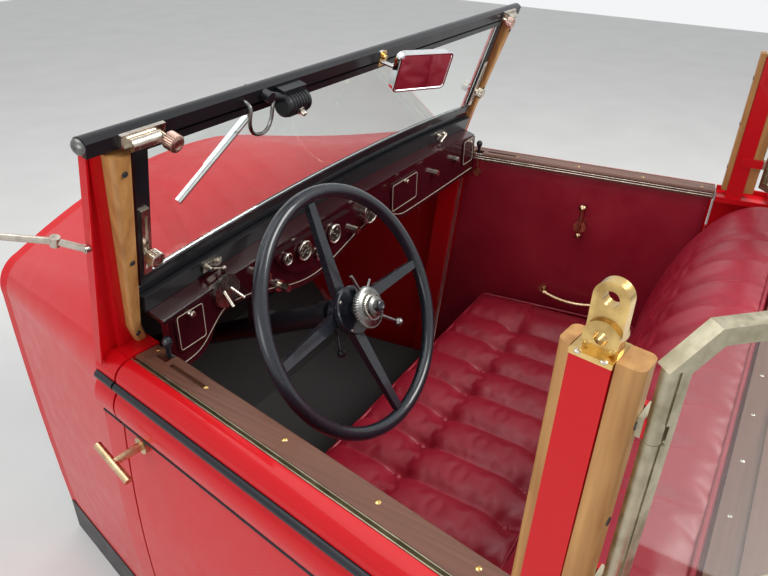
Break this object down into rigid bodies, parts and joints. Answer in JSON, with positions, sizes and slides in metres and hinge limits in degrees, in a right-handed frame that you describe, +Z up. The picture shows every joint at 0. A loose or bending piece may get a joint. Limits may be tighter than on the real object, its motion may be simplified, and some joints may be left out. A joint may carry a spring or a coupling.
{
  "type": "front compartment of a vintage open car",
  "caption": "Front body section of a vintage open car: scuttle, opening windscreen, two doors, dash, steering wheel, bench seat and hinged glass wings.",
  "frame": {"origin": "midway between the four body bolts, on the underside of the cross members", "axes": "+X to the car's left, +Y to its rear, +Z up"},
  "size_m": [1.6681, 1.6244, 1.2603],
  "materials": {
    "red_paint": "glossy enamel",
    "black_paint": "glossy enamel",
    "frame_steel": "satin black",
    "floor": "carpet on boards",
    "nickel": "aged nickel plate",
    "dark_nickel": "darkened nickel",
    "mirror": "polished",
    "maroon_wood": "lacquered board",
    "seat_wood": "plain",
    "leather": "burgundy, satin",
    "brown_capping": "satin brown",
    "tan_strip": "rubbed",
    "brass": "polished",
    "glass": "clear",
    "wheel_black": "polished black rubber"
  },
  "bodies": {
    "body": {"cross_members": "frame_steel", "floor_boards": "floor", "bulkhead": "frame_steel", "scuttle_panel": "red_paint", "base_bar": "black_paint", "header_bar": "black_paint", "header_brackets": "nickel", "inner_mirror": "mirror", "outer_mirror": "nickel", "wiper_motor": "black_paint", "dashboard": "maroon_wood", "instrument_panel": "maroon_wood", "dash_controls": "nickel", "steering_column": "black_paint", "hub_controls": "dark_nickel", "pedals": "frame_steel", "seat_base": "seat_wood", "seat_cushion": "leather", "seat_back": "leather", "partition": "red_paint", "partition_capping": "brown_capping", "pillar_strips": "tan_strip", "post_lugs": "brass", "side_sill_left": "frame_steel", "side_sill_right": "frame_steel", "front_pillar_left": "red_paint", "front_pillar_right": "red_paint", "quarter_panel_left": "red_paint", "quarter_panel_right": "red_paint", "centre_post_left": "red_paint", "centre_post_right": "red_paint"},
    "windscreen": {"screen_frame": "black_paint", "screen_glass": "glass", "screen_clamps": "nickel", "wiper_blade": "nickel"},
    "steering_wheel": {"wheel_rim": "wheel_black", "wheel_spider": "wheel_black"},
    "door_left": {"door_panel_left": "red_paint", "door_lining_left": "leather", "door_rail_left": "brown_capping", "door_channel_left": "brass", "door_hinges_left": "nickel", "door_fittings_left": "nickel"},
    "door_right": {"door_panel_right": "red_paint", "door_lining_right": "leather", "door_rail_right": "brown_capping", "door_channel_right": "brass", "door_hinges_right": "nickel", "door_fittings_right": "nickel"},
    "wing_left": {"wing_frame_left": "brass", "wing_glass_left": "glass"},
    "wing_right": {"wing_frame_right": "brass", "wing_glass_right": "glass"}
  },
  "joints": [
    {"name": "steering", "type": "hinge", "parent": "body", "child": "steering_wheel", "pos_m": [0.335, 0.2092, 0.8814], "axis": [0, 0.8862, 0.4633], "range_deg": [-540, 540]},
    {"name": "windscreen_hinge", "type": "hinge", "parent": "body", "child": "windscreen", "pos_m": [0, 0.0365, 1.21165], "axis": [-1, 0, 0], "range_deg": [0, 40]},
    {"name": "door_left_hinge", "type": "hinge", "parent": "body", "child": "door_left", "pos_m": [0.76309, 0.62568, 0.47], "axis": [0, 0, 1], "range_deg": [0, 75]},
    {"name": "door_right_hinge", "type": "hinge", "parent": "body", "child": "door_right", "pos_m": [-0.76309, 0.62568, 0.47], "axis": [0, 0, -1], "range_deg": [0, 75]},
    {"name": "wing_left_hinge", "type": "hinge", "parent": "body", "child": "wing_left", "pos_m": [0.68891, 0.73578, 1.05], "axis": [0, 0, 1], "range_deg": [-45, 40]},
    {"name": "wing_right_hinge", "type": "hinge", "parent": "body", "child": "wing_right", "pos_m": [-0.68891, 0.73578, 1.05], "axis": [0, 0, -1], "range_deg": [-45, 40]}
  ]
}
